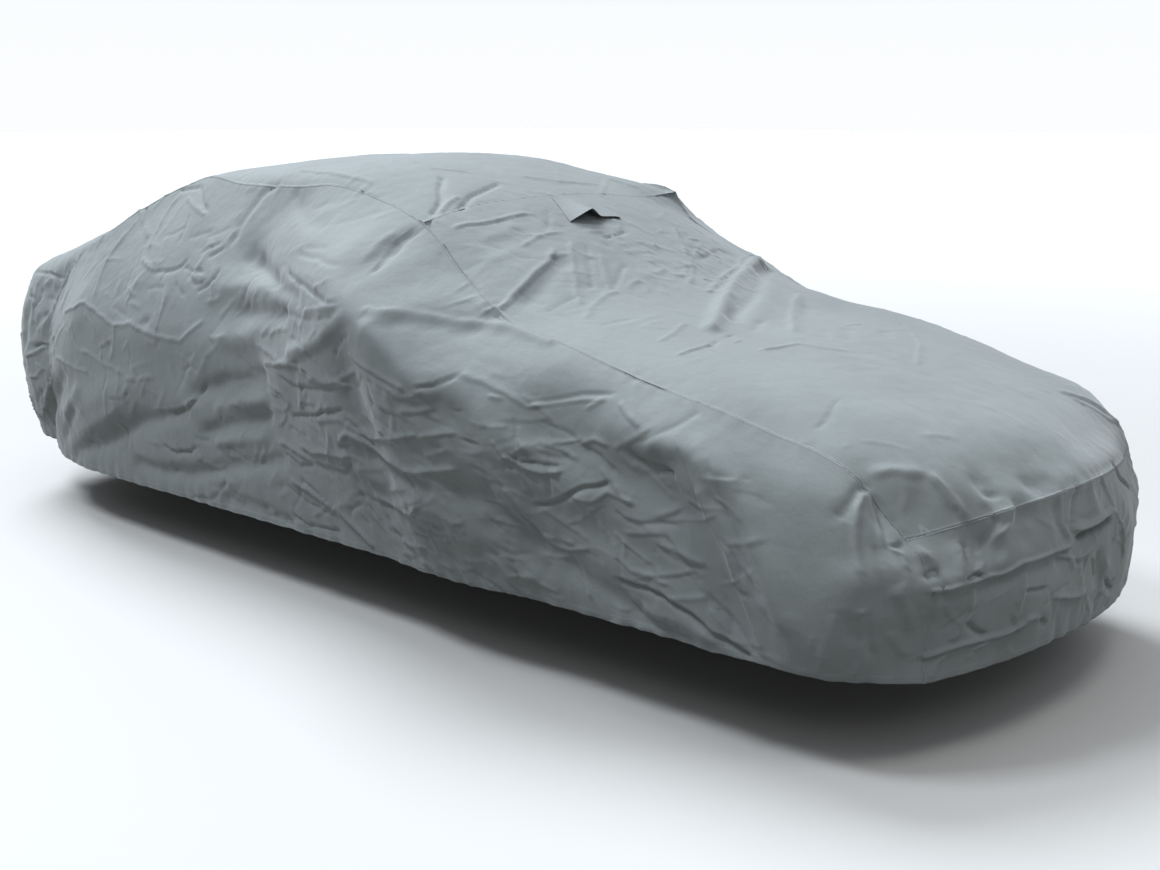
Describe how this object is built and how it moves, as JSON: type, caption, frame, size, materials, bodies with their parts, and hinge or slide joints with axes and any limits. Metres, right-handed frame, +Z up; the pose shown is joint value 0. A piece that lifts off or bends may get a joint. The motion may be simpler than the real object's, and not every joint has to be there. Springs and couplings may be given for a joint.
{
  "type": "fitted car cover",
  "caption": "Fitted cloth cover in its draped shape, hollow and open below, sewn from long panels with darted corners, a hemmed edge and a small vent flap.",
  "frame": {"origin": "middle of the roof panel's underside, where the cover is held up", "axes": "+X towards the nose, +Y towards the left side, +Z up"},
  "size_m": [4.7332, 2.0648, 1.23],
  "materials": {
    "back_panel_cloth": "matte non-woven cloth",
    "roof_panel_cloth": "matte non-woven cloth",
    "bonnet_panel_cloth": "matte non-woven cloth",
    "nose_panel_cloth": "matte non-woven cloth",
    "side_panel_right_cloth": "matte non-woven cloth",
    "side_panel_left_cloth": "matte non-woven cloth",
    "vent_flap_cloth": "matte non-woven cloth"
  },
  "bodies": {
    "root": {"back_panel": "back_panel_cloth", "roof_panel": "roof_panel_cloth", "bonnet_panel": "bonnet_panel_cloth", "nose_panel": "nose_panel_cloth", "side_panel_right": "side_panel_right_cloth", "side_panel_left": "side_panel_left_cloth", "vent_flap": "vent_flap_cloth"}
  },
  "joints": []
}
